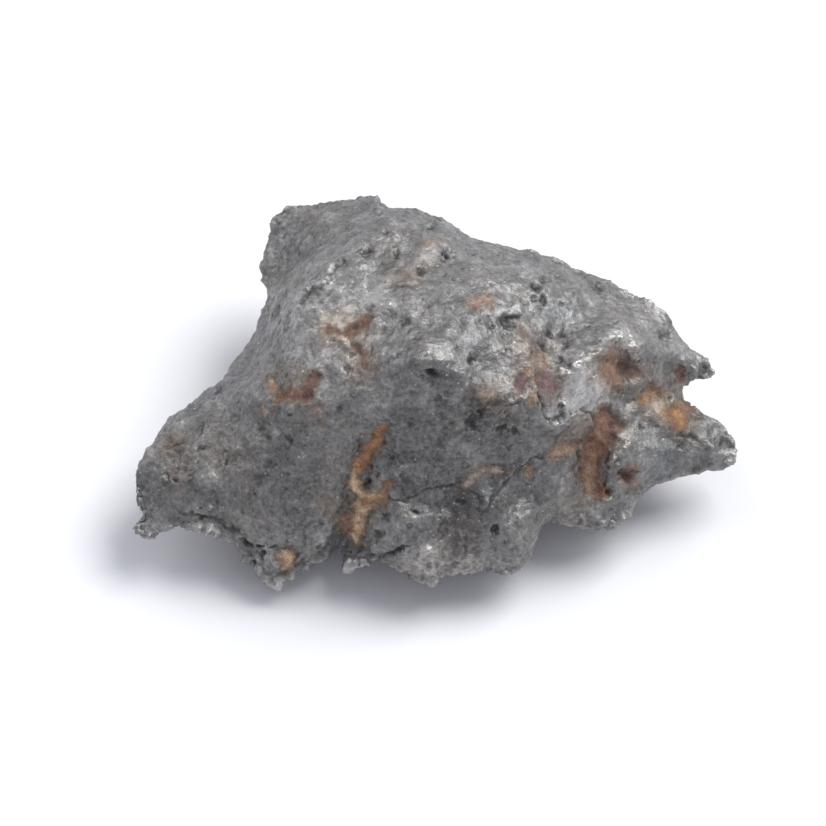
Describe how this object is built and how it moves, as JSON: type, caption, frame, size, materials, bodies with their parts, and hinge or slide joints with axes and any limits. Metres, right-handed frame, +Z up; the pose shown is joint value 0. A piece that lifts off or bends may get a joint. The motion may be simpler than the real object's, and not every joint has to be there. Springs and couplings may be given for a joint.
{
  "type": "meteorite",
  "caption": "Irregular fragment of metallic meteorite with a peaked, pitted face, a jagged rim and rust in its hollows, standing free on its underside.",
  "frame": {"origin": "on the table plane, under the centre of the stone's bounding box", "axes": "+X along the stone's length, from its left tip to its right horn; +Z up from the table; -Y towards the side its peaked face looks to"},
  "size_m": [0.0608, 0.0398, 0.0253],
  "materials": {
    "meteoritic_iron": "natural melted and pitted metal skin, semi-gloss grey, with orange-brown rust in the hollows"
  },
  "bodies": {
    "root": {"meteorite": "meteoritic_iron"}
  },
  "joints": []
}
